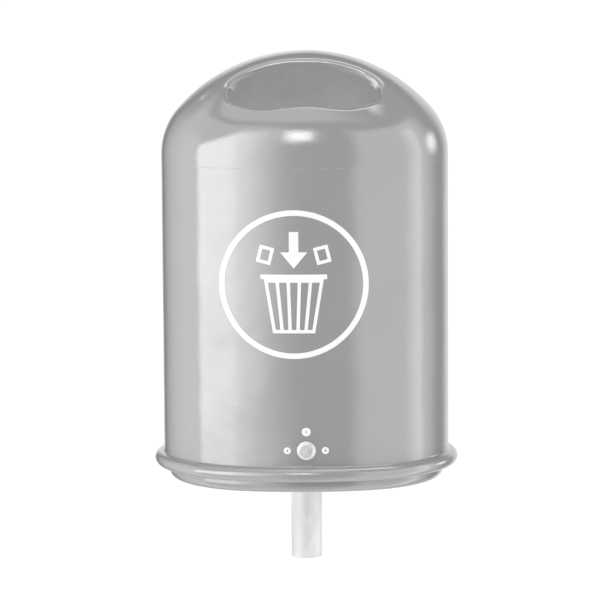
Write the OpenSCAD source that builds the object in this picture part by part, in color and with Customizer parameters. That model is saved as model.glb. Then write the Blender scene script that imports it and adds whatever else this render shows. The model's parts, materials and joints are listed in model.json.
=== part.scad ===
// Post-mounted litter bin: oval sheet-steel body with a domed hood, a throw-in mouth,
// a hinged base flap with a triangle-key lock, and two pipe clamps on a round post.
// The origin is the centre of the post's lower end, +Z is up and the front faces -Y.

/* [Body] */
// Overall width of the oval shell
body_w = 430; // [400:1:460]
// Overall depth of the oval shell
body_d = 330; // [316:1:344]
// Radius of the shallow front and rear arcs of the oval
front_r = 380; // [360:1:420]
// Height of the straight shell
shell_h = 443.5; // [400:0.5:480]
// Thickness of the sheet steel
sheet = 1.5; // [1.2:0.1:2]

/* [Hood] */
// Height of the hood's straight collar
collar_h = 6.5; // [5:0.5:16]
// Radius of the hood's shoulder in the front view
shoulder_r = 104; // [90:1:120]
// Angle that the shoulder arc turns through
shoulder_a = 41.9; // [36:0.1:46]
// Half width of the throw-in mouth at the start of its lip
mouth_w = 125; // [114:0.5:128]
// How far the mouth reaches up its slope from its widest line
mouth_top = 56.5; // [50:0.5:60]
// How far it reaches down from there
mouth_low = 67.5; // [58:0.5:70]
// Slope of the mouth from the horizontal
mouth_a = 39; // [35:0.5:44]
// Radius of the rolled lip
lip_r = 9; // [7:0.5:11]

/* [Base] */
// Height of the rolled foot bead
bead_h = 20; // [18:1:24]
// How far the foot bead stands proud of the shell
bead_out = 13.8; // [12:0.2:16]
// Depth of the base flap's underside below the shell's lower edge
flap_drop = 40; // [36:1:44]
// Gap between the shell's outline and the flap's wall
flap_inset = 8; // [7:0.5:9]
// Corner radius of the base flap
flap_corner = 12; // [10:1:14]

/* [Lock] */
// Height of the lock's axis above the shell's lower edge
lock_z = 26; // [24:1:32]
// Diameter of the lock's flange
lock_flange_d = 28.2; // [26:0.2:30]
// Radius of the circle of the three lock rivets
lock_rivet_r = 28; // [26:0.5:30]

/* [Post] */
// Outer diameter of the post, a standard steel tube
post_d = 48.3; // [48.3:0.1:48.4]
// Wall thickness of the post
post_t = 2.6; // [2:0.1:3.2]
// Distance from the shell's centre to the post's axis
post_offset = 226; // [224:1:232]
// Length of the post below the base flap
post_drop = 172; // [150:1:220]
// Height of the post's top above the shell's lower edge
post_rise = 425; // [390:1:440]

/* [Pictogram] */
// Outer diameter of the white ring
ring_d = 220; // [200:1:230]
// Width of the ring's line
ring_line = 8.2; // [6:0.1:10]
// Height of the ring's centre above the shell's lower edge
ring_z = 273; // [250:1:290]
// Sideways place of the ring's centre
ring_x = -17; // [-20:1:20]

/* [Hidden] */

big_fn = 160;
small_fn = 48;
tiny_fn = 24;
over = 1;

paint = "#b5b5b5";
zinc = "#e6e6e6";
steel = "#c9c9c9";
white = "#fafafa";
dark = "#3a3a3a";

// The oval: two shallow arcs of front_r and two side arcs, tangent to each other.
half_w = body_w / 2;
half_d = body_d / 2;
side_r = (2 * front_r * half_d - half_w * half_w - half_d * half_d) / (2 * (front_r - half_w));
front_c = front_r - half_d;
side_c = half_w - side_r;
turn_a = atan2(side_c, front_c);
turn_x = front_r * sin(turn_a);
turn_y = front_r * cos(turn_a) - front_c;
corner_a = atan2(turn_y, turn_x);

crease_z = post_drop + flap_drop;

// The hood's profile: apex arc, shoulder arc and straight collar.
shoulder_c = half_w - shoulder_r;
crown_r = shoulder_r + shoulder_c / cos(shoulder_a);
crown_len = crown_r * (90 - shoulder_a) * PI / 180;
shoulder_len = shoulder_r * shoulder_a * PI / 180;
dome_len = crown_len + shoulder_len;
hood_len = dome_len + collar_h;
join_w = crown_r * cos(shoulder_a);
join_z = shoulder_r * sin(shoulder_a);
dome_h = join_z + crown_r * (1 - sin(shoulder_a));
hood_t = 1.8;
hood_cols = 72;
hood_rings = 15;
lip_rings = 5;
flange_len = 6;
mouth_c = 2.5;
mouth_power_top = 2.2;
mouth_power_low = 2.35;
mouth_lift = 8.4;
mouth_lift_w = 0.6 * mouth_w;

// The foot bead is one circular arc that starts and ends on the shell's outline.
bead_c = (bead_out * bead_out - pow(bead_h / 2, 2)) / (2 * bead_out);
bead_r = bead_out - bead_c;
lap_h = 11;
lap_t = 1.5;
sill_in = 6;
foot_arcs = 14;
foot_side = 34;
foot_front = 14;
flap_arcs = 5;
flap_rim_z = -8;

// Blind rivets.
rivet_r = 2.4;
large_head_r = 6.6;
rivet_head_r = 5.4;
small_head_r = 4.5;
rivet_head_t = 2.2;
rivet_tail = 4;
rivet_tail_r = 3.5;
mandrel_r = 1.1;

// Hinge of the base flap.
hinge_y = 181;
hinge_z = -25;
pin_r = 2.5;
pin_play = 0.06;
knuckle_r = 5.5;
leaf_t = 2;
hinge_w = 100;
knuckle_gap = 0.6;
knuckle_x = [-50, -31, -10, 10, 31, 50];
leaf_weld_y = 160;
leaf_back_y = 174;
leaf_front_y = 105;
leaf_bend_y = 152;
hinge_rivet_y = 118;
hinge_rivet_x = [-35, 0, 35];

// Lock.
barrel_r = 10;
barrel_play = 0.1;
drill = 30;
lock_rivet_a = [0, 90, 180];
lock_proud = 10;
lock_flange_t = 2.5;
collar_r = 11.8;
recess_r = 10.2;
recess_depth = 2.6;
core_r = 8;
core_tail_r = 6;
core_step = 6;
core_play = 0.05;
core_face = 7.4;
barrel_back = 20.5;
cam_t = 3;
cam_w = 14;
cam_len = 34;
cam_front = 21;
cam_hub_r = 9.5;
cam_grip = 0.2;
cam_washer_r = 9;
cam_screw_r = 3;
cam_screw_len = 14;
cam_head_af = 10;
cam_head_t = 4;
tail_sq = 8.4;
plate_t = 2;
plate_w = 76;
plate_low = 13;
plate_top = 66;
nut_af = 27;
nut_t = 6;
nut_seat = 0.33;
striker_t = 2.5;
striker_x = -34;
striker_w = 18;
striker_y = -134;
striker_gap = 0.6;
striker_lip = 12;
striker_foot = 29;
striker_rivet_y = [-125, -112];

// Rail, clamps and post.
rail_depth = 30;
rail_w = 44;
rail_flange = 20;
rail_t = 2.5;
rail_root = 6;
rail_low = 22;
rail_high = 422;
bolt_x = 32;
bolt_z = [60, 384];
clamp_z = [110, 334];
post_r = post_d / 2;
post_top = crease_z + post_rise;
clamp_t = 4;
clamp_h = 30;
clamp_play = 0.1;
clamp_gap = 3;
ear_x = 47;
ear_bolt_x = 37;
pad_w = 26;
bolt_r = 4;
bolt_play = 0.05;
head_play = 0.2;
hex_af = 13;
hex_t = 5.5;
washer_r = 8;
washer_t = 1.5;
thread_out = 5;
cap_t = 2;
cap_h = 24;
film = 0.3;
weld_h = 2.4;
weld_t = 0.35;
drain_r = 4;
drain_x = 95;
drain_y = 55;

// Pictogram: basket, arrow and papers, measured from the ring's centre.
basket_top_w = 44;
basket_low_w = 31;
basket_top_z = 8;
basket_low_z = -72;
basket_rim = 7;
basket_bar = 5;
basket_cols = 5;
arrow_w = 7;
arrow_head = 20;
arrow_top = 78;
arrow_neck = 48;
arrow_tip = 24;
paper_x = 42;
paper_z = 44;
paper_a = 14;
paper_w = 22;
paper_h = 26;
paper_line = 10;

// ---- The oval as arcs, plan outlines and sweeps ----

// The oval's plan, moved outwards by off.
module oval_plan(off = 0) {
    for (side = [-1, 1]) translate([side * side_c, 0]) circle(r = side_r + off, $fn = big_fn);
    intersection() {
        translate([0, front_c]) circle(r = front_r + off, $fn = 2 * big_fn);
        translate([0, -front_c]) circle(r = front_r + off, $fn = 2 * big_fn);
        clip = (front_r + off) * sin(turn_a);
        translate([-clip, -body_w]) square([2 * clip, 2 * body_w]);
    }
}

// A solid band that follows the oval, between two offsets and two heights.
module oval_band(inner, outer, low, high) {
    translate([0, 0, low]) linear_extrude(high - low) difference() {
        oval_plan(outer);
        oval_plan(inner);
    }
}

// Moves children from the bin's frame, on the shell's lower edge, to the part's frame.
module at_bin() {
    translate([0, -post_offset, crease_z]) children();
}

// Places children on the wall, with their +Z along the wall's outward normal.
module on_front(x, z) {
    translate([0, front_c, z]) rotate([0, 0, asin(x / front_r)])
        translate([0, -front_r, 0]) rotate([90, 0, 0]) children();
}

module on_rear(x, z) {
    rotate([0, 0, 180]) on_front(-x, z) children();
}

module at_lock() {
    translate([0, -half_d, lock_z]) rotate([90, 0, 0]) children();
}

// ---- Hood surface ----

// Distance from the oval's centre to its outline, in the direction of angle t.
function oval_reach(t) =
    let (s = abs(sin(t)), c = abs(cos(t)))
    atan2(s, c) > corner_a ? sqrt(front_r * front_r - pow(front_c * c, 2)) - front_c * s
                           : side_c * c + sqrt(side_r * side_r - pow(side_c * s, 2));

// Angle from the vertical on the shoulder arc, at arc length m from the apex.
function shoulder_at(m) = 90 - shoulder_a + (m - crown_len) / shoulder_r * 180 / PI;

// Half width and height of the profile at arc length m from the apex, for a sheet cut in by t.
function profile_w(m, t) =
    m < crown_len ? (crown_r - t) * sin(m / crown_r * 180 / PI)
    : m < dome_len ? shoulder_c + (shoulder_r - t) * sin(shoulder_at(m))
    : half_w - t;
function profile_z(m, t) =
    m < crown_len ? dome_h - crown_r + (crown_r - t) * cos(m / crown_r * 180 / PI)
    : m < dome_len ? (shoulder_r - t) * cos(shoulder_at(m))
    : dome_len - m;

// Arc length from the apex at which the profile is w wide.
function profile_m(w) =
    w < join_w ? crown_r * asin(w / crown_r) * PI / 180
    : let (rise = asin(min(1, (w - shoulder_c) / shoulder_r)) - 90 + shoulder_a)
      crown_len + shoulder_r * rise * PI / 180;

// Point of the dome at plan angle a and arc length m, on the outer face or t inside it.
function dome_point(a, m, t) =
    let (k = profile_w(m, t) / half_w * oval_reach(a))
    [k * cos(a), k * sin(a), shell_h + collar_h + profile_z(m, t)];

function dome_z(x, y) =
    let (w = norm([x, y]) / oval_reach(atan2(y, x)) * half_w)
    profile_z(profile_m(min(w, half_w)), 0);

// Depth on the dome's front half at which the mouth's plane coordinate is v.
function mouth_y(x, v, lo, hi, n) =
    let (mid = (lo + hi) / 2)
    n == 0 ? mid
    : mid * cos(mouth_a) + dome_z(x, mid) * sin(mouth_a) < v ? mouth_y(x, v, mid, hi, n - 1)
    : mouth_y(x, v, lo, mid, n - 1);

function front_edge(x) =
    abs(x) < turn_x ? front_c - sqrt(front_r * front_r - x * x)
                    : -sqrt(side_r * side_r - pow(abs(x) - side_c, 2));

function power(c, p) = sign(c) * pow(abs(c), p);

// Plane coordinate of the mouth's edge at angle t. The lower edge rises in its middle.
function mouth_v(t, x) = sin(t) > 0
    ? mouth_c + mouth_top * power(sin(t), 2 / mouth_power_top)
    : mouth_c + mouth_low * power(sin(t), 2 / mouth_power_low)
      + mouth_lift * pow(max(0, 1 - pow(x / mouth_lift_w, 2)), 2);

// The mouth's edge as [plan angle, arc length] for each column.
mouth_edge = [for (i = [0 : hood_cols - 1])
    let (t = 360 * i / hood_cols,
         side_power = sin(t) > 0 ? mouth_power_top : mouth_power_low,
         x = mouth_w * power(cos(t), 2 / side_power),
         y = mouth_y(x, mouth_v(t, x), front_edge(x), 0, 28),
         w = norm([x, y]) / oval_reach(atan2(y, x)) * half_w)
    [atan2(y, x), profile_m(w)]];

// The dome's domain is a disc: arc length is the radius, plan angle is the angle.
function to_disc(p) = [p[1] * cos(p[0]), p[1] * sin(p[0])];
function from_disc(q) = [atan2(q[1], q[0]), norm(q)];
mouth_disc = [for (p = mouth_edge) to_disc(p)];
mouth_mid = [0, (mouth_disc[hood_cols / 4][1] + mouth_disc[3 * hood_cols / 4][1]) / 2];

// Where the ray from the mouth's middle through q leaves the disc.
function disc_exit(q) =
    let (d = (q - mouth_mid) / norm(q - mouth_mid),
         b = mouth_mid * d,
         c = mouth_mid * mouth_mid - hood_len * hood_len)
    mouth_mid + d * (sqrt(b * b - c) - b);

function ring_at(k, t) = [for (q = mouth_disc)
    let (e = disc_exit(q), p = from_disc(q + (e - q) * k))
    dome_point(p[0], p[1], t)];

// Outward normal of a closed ring of points towards the next ring.
function ring_normals(near, far) = [for (i = [0 : hood_cols - 1])
    let (along = near[(i + 1) % hood_cols] - near[(i + hood_cols - 1) % hood_cols],
         n = cross(far[i] - near[i], along))
    n / norm(n)];

edge_ring = ring_at(0, 0);
edge_n = ring_normals(edge_ring, ring_at(0.02, 0));
edge_in = [for (i = [0 : hood_cols - 1])
    let (along = edge_ring[(i + 1) % hood_cols] - edge_ring[(i + hood_cols - 1) % hood_cols],
         d = cross(edge_n[i], along))
    d / norm(d)];

// A ring of the rolled lip: r from the roll's centre, at angle a round it, then deeper by d.
function lip_ring(r, a, d) = [for (i = [0 : hood_cols - 1])
    edge_ring[i] + edge_in[i] * r * sin(a) - edge_n[i] * (lip_r - r * cos(a) + d)];

hood_loops = concat(
    [for (k = [hood_rings : -1 : 1]) ring_at(pow(k / hood_rings, 1.15), 0)],
    [for (k = [0 : lip_rings]) lip_ring(lip_r, 90 * k / lip_rings, 0)],
    [lip_ring(lip_r, 90, flange_len)],
    [lip_ring(lip_r - hood_t, 90, flange_len)],
    [for (k = [lip_rings : -1 : 0]) lip_ring(lip_r - hood_t, 90 * k / lip_rings, 0)],
    [for (k = [1 : hood_rings]) ring_at(pow(k / hood_rings, 1.15), hood_t)]);

module hood() {
    loops = len(hood_loops);
    points = [for (ring = hood_loops) for (p = ring) p];
    faces = [for (j = [0 : loops - 1]) for (i = [0 : hood_cols - 1])
        let (a = j * hood_cols, b = ((j + 1) % loops) * hood_cols, n = (i + 1) % hood_cols)
        for (face = [[a + i, a + n, b + n], [a + i, b + n, b + i]]) face];
    color(paint) at_bin() polyhedron(points, faces);
}

// ---- Shell, base ring and seam ----

module lock_holes() {
    at_lock() wall_hole(barrel_r + barrel_play);
    for (a = lock_rivet_a) at_lock_rivet(a) wall_hole(rivet_r);
}

// A drill through the wall, along the local +Z.
module wall_hole(r) {
    translate([0, 0, -drill / 2]) cylinder(r = r, h = drill, $fn = small_fn);
}

module at_lock_rivet(a) {
    on_front(lock_rivet_r * cos(a), lock_z + lock_rivet_r * sin(a)) children();
}

module body_shell() {
    color(paint) at_bin() difference() {
        oval_band(-sheet, 0, 0, shell_h);
        lock_holes();
        for (z = bolt_z) for (x = [-bolt_x, bolt_x]) on_rear(x, z) wall_hole(bolt_r);
    }
}

module hood_weld() {
    color(paint) at_bin() oval_band(0, weld_t, shell_h - weld_h / 2, shell_h + weld_h / 2);
}

// Closed outline of the rolled foot: bead, sill and lap, as [offset from the outline, z].
function bead_arc(r, a0, a1, n) =
    [for (k = [0 : n]) let (a = a0 + (a1 - a0) * k / n) [bead_c + r * cos(a), -bead_h / 2 + r * sin(a)]];

bead_a = atan2(bead_h / 2, -bead_c);
bead_in_r = bead_r - sheet;
bead_in_a = 180 - asin((bead_h / 2 - sheet) / bead_in_r);
foot_outline = concat(
    [[-sheet - lap_t, lap_h], [-sheet - lap_t, -sheet]],
    bead_arc(bead_in_r, bead_in_a, -bead_in_a, foot_arcs),
    [[-sill_in, -bead_h + sheet], [-sill_in, -bead_h]],
    bead_arc(bead_r, -bead_a, bead_a, foot_arcs),
    [[-sheet, 0], [-sheet, lap_h]]);

// Points of the oval with their outward normals, as [x, y, normal angle].
function arc_points(cx, cy, r, a0, a1, n) =
    [for (k = [0 : n - 1]) let (a = a0 + (a1 - a0) * k / n) [cx + r * cos(a), cy + r * sin(a), a]];
oval_points = concat(
    arc_points(side_c, 0, side_r, turn_a - 90, 90 - turn_a, foot_side),
    arc_points(0, -front_c, front_r, 90 - turn_a, 90 + turn_a, foot_front),
    arc_points(-side_c, 0, side_r, 90 + turn_a, 270 - turn_a, foot_side),
    arc_points(0, front_c, front_r, 270 - turn_a, 270 + turn_a, foot_front));

module foot_ring() {
    n = len(foot_outline);
    m = len(oval_points);
    points = [for (p = oval_points) for (q = foot_outline)
        [p[0] + q[0] * cos(p[2]), p[1] + q[0] * sin(p[2]), q[1]]];
    faces = [for (j = [0 : m - 1]) for (i = [0 : n - 1])
        let (a = j * n, b = ((j + 1) % m) * n, k = (i + 1) % n)
        for (face = [[a + i, b + k, a + k], [a + i, b + i, b + k]]) face];
    color(paint) at_bin() polyhedron(points, faces);
}

// ---- Base flap and its hinge ----

// Rounded lower corner of the flap, as [offset from the outline, z].
function flap_arc(r, a0, a1, n) =
    [for (k = [0 : n]) let (a = a0 + (a1 - a0) * k / n)
        [-flap_inset - flap_corner + r * cos(a), flap_corner - flap_drop + r * sin(a)]];

// Open outline of the flap's dish, from the floor's underside over the rim to its upper face.
flap_outline = concat(
    flap_arc(flap_corner, -90, 0, flap_arcs),
    [[-flap_inset, flap_rim_z], [-flap_inset - sheet, flap_rim_z]],
    flap_arc(flap_corner - sheet, 0, -90, flap_arcs));

module flap_dish() {
    n = len(oval_points);
    loops = len(flap_outline);
    points = [for (q = flap_outline) for (p = oval_points)
        [p[0] + q[0] * cos(p[2]), p[1] + q[0] * sin(p[2]), q[1]]];
    walls = [for (j = [0 : loops - 2]) for (i = [0 : n - 1])
        let (a = j * n, b = a + n, k = (i + 1) % n)
        for (face = [[a + i, b + k, a + k], [a + i, b + i, b + k]]) face];
    under = [for (i = [0 : n - 1]) i];
    upper = [for (i = [n - 1 : -1 : 0]) (loops - 1) * n + i];
    polyhedron(points, concat(walls, [under, upper]));
}

module base_flap() {
    color(paint) at_bin() difference() {
        flap_dish();
        for (x = [-drain_x, drain_x]) for (y = [-drain_y, drain_y]) floor_hole(x, y, drain_r);
        for (x = hinge_rivet_x) floor_hole(x, hinge_rivet_y, rivet_r);
        for (y = striker_rivet_y) floor_hole(striker_x + striker_w / 2, y, rivet_r);
    }
}

module floor_hole(x, y, r) {
    translate([x, y, -flap_drop - over]) cylinder(r = r, h = sheet + 2 * over, $fn = tiny_fn);
}

module along_x(x0, x1) {
    translate([x0, 0, 0]) rotate([90, 0, 90]) linear_extrude(x1 - x0) children();
}

// Knuckles numbered from the left; every second one belongs to the same leaf.
module knuckles(first) {
    for (i = [first : 2 : len(knuckle_x) - 2])
        along_x(knuckle_x[i] + knuckle_gap / 2, knuckle_x[i + 1] - knuckle_gap / 2) children();
}

module pin_bore() {
    along_x(-hinge_w, hinge_w) translate([hinge_y, hinge_z])
        circle(r = pin_r + pin_play, $fn = small_fn);
}

module hinge_body_leaf() {
    top = -bead_h / 2 - bead_r;
    color(paint) at_bin() difference() {
        union() {
            along_x(knuckle_x[0], knuckle_x[5])
                translate([leaf_weld_y, top - leaf_t]) square([leaf_back_y - leaf_weld_y, leaf_t]);
            knuckles(0) {
                translate([leaf_back_y - over, top - leaf_t])
                    square([hinge_y - leaf_back_y - over, leaf_t]);
                translate([hinge_y, hinge_z]) circle(r = knuckle_r, $fn = small_fn);
            }
        }
        pin_bore();
    }
}

module hinge_flap_leaf() {
    low = -flap_drop - leaf_t;
    color(paint) at_bin() difference() {
        union() {
            along_x(knuckle_x[0], knuckle_x[5]) translate([leaf_front_y, low])
                square([leaf_bend_y - leaf_front_y, leaf_t]);
            knuckles(1) {
                polygon([[leaf_bend_y - leaf_t, low], [leaf_bend_y, low],
                         [hinge_y - over, hinge_z - knuckle_r],
                         [hinge_y - knuckle_r / 2, hinge_z - knuckle_r / 2],
                         [leaf_bend_y - leaf_t, low + leaf_t]]);
                translate([hinge_y, hinge_z]) circle(r = knuckle_r, $fn = small_fn);
            }
        }
        pin_bore();
        for (x = hinge_rivet_x) translate([x, hinge_rivet_y, low - over])
            cylinder(r = rivet_r, h = leaf_t + 2 * over, $fn = tiny_fn);
    }
}

module hinge_pin() {
    head = 1.5;
    color(steel) at_bin() {
        along_x(-hinge_w / 2 - head, hinge_w / 2 + head) translate([hinge_y, hinge_z])
            circle(r = pin_r, $fn = small_fn);
        for (x = [-hinge_w / 2 - head, hinge_w / 2]) along_x(x, x + head)
            translate([hinge_y, hinge_z]) circle(r = pin_r + 1, $fn = small_fn);
    }
}

// ---- Fasteners ----

// Blind rivet: a domed head outside, a shank through the grip and a swollen tail behind it.
module blind_rivet(grip, head_r) {
    dome_r = (head_r * head_r + rivet_head_t * rivet_head_t) / (2 * rivet_head_t);
    difference() {
        union() {
            intersection() {
                translate([0, 0, rivet_head_t - dome_r]) sphere(r = dome_r, $fn = 64);
                cylinder(r = head_r, h = rivet_head_t, $fn = small_fn);
            }
            translate([0, 0, -grip]) cylinder(r = rivet_r, h = grip, $fn = tiny_fn);
            translate([0, 0, -grip - rivet_tail])
                cylinder(r = rivet_tail_r, h = rivet_tail, $fn = tiny_fn);
        }
        translate([0, 0, -grip])
            cylinder(r = mandrel_r, h = grip + rivet_head_t + over, $fn = tiny_fn);
    }
}

module hex_head(af, t) {
    cylinder(r = af / 2 / cos(30), h = t, $fn = 6);
}

module washer(outer, inner, t) {
    difference() {
        cylinder(r = outer, h = t, $fn = small_fn);
        translate([0, 0, -over]) cylinder(r = inner, h = t + 2 * over, $fn = small_fn);
    }
}

module hex_nut(af, t, hole) {
    difference() {
        hex_head(af, t);
        translate([0, 0, -over]) cylinder(r = hole, h = t + 2 * over, $fn = small_fn);
    }
}

module hinge_rivets() {
    color(zinc) at_bin() for (x = hinge_rivet_x)
        translate([x, hinge_rivet_y, -flap_drop - leaf_t]) rotate([180, 0, 0])
            blind_rivet(leaf_t + sheet, small_head_r);
}

// ---- Lock ----

module lock_plate() {
    color(zinc) at_bin() difference() {
        intersection() {
            oval_band(-sheet - plate_t, -sheet, plate_low, plate_top);
            translate([-plate_w / 2, -body_d, 0]) cube([plate_w, body_d, plate_top + over]);
        }
        lock_holes();
    }
}

module lock_housing() {
    rim = 0.8;
    color(steel) at_bin() at_lock() difference() {
        union() {
            cylinder(d = lock_flange_d, h = lock_flange_t - rim, $fn = 64);
            translate([0, 0, lock_flange_t - rim])
                cylinder(d1 = lock_flange_d, d2 = lock_flange_d - 2 * rim, h = rim, $fn = 64);
            cylinder(r = collar_r, h = lock_proud - rim, $fn = 64);
            translate([0, 0, lock_proud - rim])
                cylinder(r1 = collar_r, r2 = collar_r - rim, h = rim, $fn = 64);
            translate([0, 0, -barrel_back]) cylinder(r = barrel_r, h = barrel_back, $fn = 64);
        }
        translate([0, 0, -core_step])
            cylinder(r = core_r + core_play, h = core_step + lock_proud + over, $fn = 64);
        translate([0, 0, lock_proud - recess_depth])
            cylinder(r = recess_r, h = recess_depth + over, $fn = 64);
        translate([0, 0, -barrel_back - over])
            cylinder(r = core_tail_r + core_play, h = barrel_back + over, $fn = 64);
    }
}

module lock_nut() {
    color(zinc) at_bin() at_lock() translate([0, 0, -sheet - plate_t - nut_seat - nut_t])
        hex_nut(nut_af, nut_t, barrel_r + barrel_play / 2);
}

module lock_rivets() {
    color(white) at_bin() for (a = lock_rivet_a) at_lock_rivet(a)
        blind_rivet(sheet + plate_t, a == 90 ? large_head_r : rivet_head_r);
}

// Plug with a raised triangle for the service key and a square tail for the cam.
module lock_core() {
    tri_r = 5.2;
    tri_h = 2.2;
    seat = 0.1;
    color(steel) at_bin() at_lock() difference() {
        union() {
            translate([0, 0, -core_step + seat])
                cylinder(r = core_r, h = core_face + core_step - seat, $fn = 64);
            translate([0, 0, core_face]) rotate([0, 0, 90]) cylinder(r = tri_r, h = tri_h, $fn = 3);
            translate([0, 0, -cam_front]) cylinder(r = core_tail_r, h = cam_front, $fn = 64);
            translate([-tail_sq / 2, -tail_sq / 2, -cam_front - cam_t + cam_grip])
                cube([tail_sq, tail_sq, cam_t]);
        }
        translate([0, 0, -cam_front - cam_t]) cylinder(r = cam_screw_r, h = cam_screw_len, $fn = tiny_fn);
    }
}

module lock_cam() {
    color(zinc) at_bin() at_lock() translate([0, 0, -cam_front - cam_t]) difference() {
        union() {
            cylinder(r = cam_hub_r, h = cam_t, $fn = small_fn);
            translate([-cam_w / 2, -cam_len + cam_w / 2, 0]) cube([cam_w, cam_len - cam_w / 2, cam_t]);
            translate([0, -cam_len + cam_w / 2, 0]) cylinder(d = cam_w, h = cam_t, $fn = small_fn);
        }
        translate([-tail_sq / 2, -tail_sq / 2, -over]) cube([tail_sq, tail_sq, cam_t + 2 * over]);
    }
}

module cam_washer() {
    color(zinc) at_bin() at_lock() translate([0, 0, -cam_front - cam_t - washer_t])
        washer(cam_washer_r, cam_screw_r + barrel_play, washer_t);
}

module cam_screw() {
    color(zinc) at_bin() at_lock() translate([0, 0, -cam_front - cam_t - washer_t]) {
        translate([0, 0, -cam_head_t]) hex_head(cam_head_af, cam_head_t);
        cylinder(r = cam_screw_r - bolt_play, h = cam_screw_len, $fn = tiny_fn);
    }
}

// Catch on the flap: a foot, an upright and a lip that rests on the turned cam.
module flap_striker() {
    floor_z = -flap_drop + sheet;
    lip_z = lock_z + cam_w / 2 + striker_gap;
    color(zinc) at_bin() translate([striker_x, striker_y, 0]) difference() {
        union() {
            translate([0, 0, floor_z]) cube([striker_w, striker_t, lip_z - floor_z + striker_t]);
            translate([0, 0, floor_z]) cube([striker_w, striker_foot, striker_t]);
            translate([0, -striker_lip, lip_z]) cube([striker_w, striker_lip + striker_t, striker_t]);
        }
        for (y = striker_rivet_y) translate([striker_w / 2, y - striker_y, floor_z - over])
            cylinder(r = rivet_r, h = striker_t + 2 * over, $fn = tiny_fn);
    }
}

module striker_rivets() {
    color(zinc) at_bin() for (y = striker_rivet_y)
        translate([striker_x + striker_w / 2, y, -flap_drop]) rotate([180, 0, 0])
            blind_rivet(sheet + striker_t, small_head_r);
}

// ---- Mounting rail, clamps and post ----

module mounting_rail() {
    web_y = half_d + rail_depth;
    flange_w = rail_flange + rail_t;
    flange_x = (rail_w + rail_flange - rail_t) / 2;
    side_x = (rail_w - rail_t) / 2;
    color(zinc) at_bin() difference() {
        union() {
            intersection() {
                oval_band(0, rail_t, rail_low, rail_high);
                for (s = [-1, 1]) translate([s * flange_x - flange_w / 2, 0, 0])
                    cube([flange_w, body_d, rail_high + over]);
            }
            difference() {
                for (s = [-1, 1]) translate([s * side_x - rail_t / 2, half_d - rail_root, rail_low])
                    cube([rail_t, rail_depth + rail_root, rail_high - rail_low]);
                translate([0, 0, rail_low - over]) linear_extrude(rail_high - rail_low + 2 * over)
                    oval_plan(0);
            }
            translate([-rail_w / 2, web_y - rail_t, rail_low])
                cube([rail_w, rail_t, rail_high - rail_low]);
        }
        for (z = bolt_z) for (x = [-bolt_x, bolt_x]) on_rear(x, z)
            translate([0, 0, -over]) cylinder(r = bolt_r, h = rail_t + 2 * over, $fn = tiny_fn);
        for (z = clamp_z) translate([0, web_y + over, z]) rotate([90, 0, 0])
            cylinder(r = bolt_r, h = rail_t + 2 * over, $fn = tiny_fn);
    }
}

// Round-headed bolts from the inside, through the shell and the rail's flanges.
module rail_bolts() {
    head_t = 3;
    head_r = 9;
    shank = 16;
    dome_r = (head_r * head_r + head_t * head_t) / (2 * head_t);
    color(zinc) at_bin() for (z = bolt_z) for (x = [-bolt_x, bolt_x]) on_rear(x, z) {
        translate([0, 0, -sheet - head_play]) intersection() {
            translate([0, 0, dome_r - head_t]) sphere(r = dome_r, $fn = 64);
            translate([0, 0, -head_t]) cylinder(r = head_r, h = head_t, $fn = small_fn);
        }
        translate([0, 0, -sheet - head_play])
            cylinder(r = bolt_r - bolt_play, h = shank, $fn = tiny_fn);
    }
}

module rail_nuts() {
    rail_play = 0.1;
    color(zinc) at_bin() for (z = bolt_z) for (x = [-bolt_x, bolt_x]) on_rear(x, z) {
        translate([0, 0, rail_t + rail_play]) washer(washer_r, bolt_r, washer_t - rail_play);
        translate([0, 0, rail_t + washer_t]) hex_nut(hex_af, hex_t, bolt_r);
    }
}

// Half shell of a pipe clamp with its two ears, on the -Y side, joined to its children.
module clamp_half() {
    in_r = post_r + clamp_play;
    out_r = in_r + clamp_t;
    ear_t = clamp_t + clamp_gap / 2;
    translate([0, 0, -clamp_h / 2]) difference() {
        union() {
            cylinder(r = out_r, h = clamp_h, $fn = 96);
            translate([-ear_x, -ear_t, 0]) cube([2 * ear_x, ear_t, clamp_h]);
            children();
        }
        translate([0, 0, -over]) cylinder(r = in_r, h = clamp_h + 2 * over, $fn = 96);
        translate([-ear_x - over, -clamp_gap / 2, -over])
            cube([2 * (ear_x + over), out_r + clamp_gap, clamp_h + 2 * over]);
        for (x = [-ear_bolt_x, ear_bolt_x]) translate([x, 0, clamp_h / 2]) rotate([90, 0, 0])
            cylinder(r = bolt_r, h = out_r, $fn = tiny_fn);
    }
}

module at_clamps() {
    for (z = clamp_z) translate([0, 0, crease_z + z]) children();
}

// The inner halves carry a flat pad, with a tapped hole for the screw through the rail.
module clamp_saddles() {
    pad = post_offset - half_d - rail_depth;
    color(zinc) at_clamps() difference() {
        clamp_half() translate([-pad_w / 2, -pad, 0]) cube([pad_w, pad, clamp_h]);
        translate([0, -post_r, 0]) rotate([90, 0, 0])
            cylinder(r = bolt_r, h = pad - post_r + over, $fn = tiny_fn);
    }
}

module clamp_straps() {
    color(zinc) at_clamps() rotate([0, 0, 180]) clamp_half();
}

module clamp_bolts() {
    back = clamp_gap / 2 + clamp_t;
    shank = 2 * back + washer_t + hex_t + thread_out;
    color(steel) at_clamps() for (x = [-ear_bolt_x, ear_bolt_x]) translate([x, back, 0])
        rotate([-90, 0, 0]) {
            hex_head(hex_af, hex_t);
            translate([0, 0, -shank]) cylinder(r = bolt_r - bolt_play, h = shank, $fn = tiny_fn);
        }
}

module clamp_nuts() {
    back = clamp_gap / 2 + clamp_t;
    color(steel) at_clamps() for (x = [-ear_bolt_x, ear_bolt_x]) translate([x, -back, 0])
        rotate([90, 0, 0]) {
            washer(washer_r, bolt_r, washer_t);
            translate([0, 0, washer_t]) hex_nut(hex_af, hex_t, bolt_r);
        }
}

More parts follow.
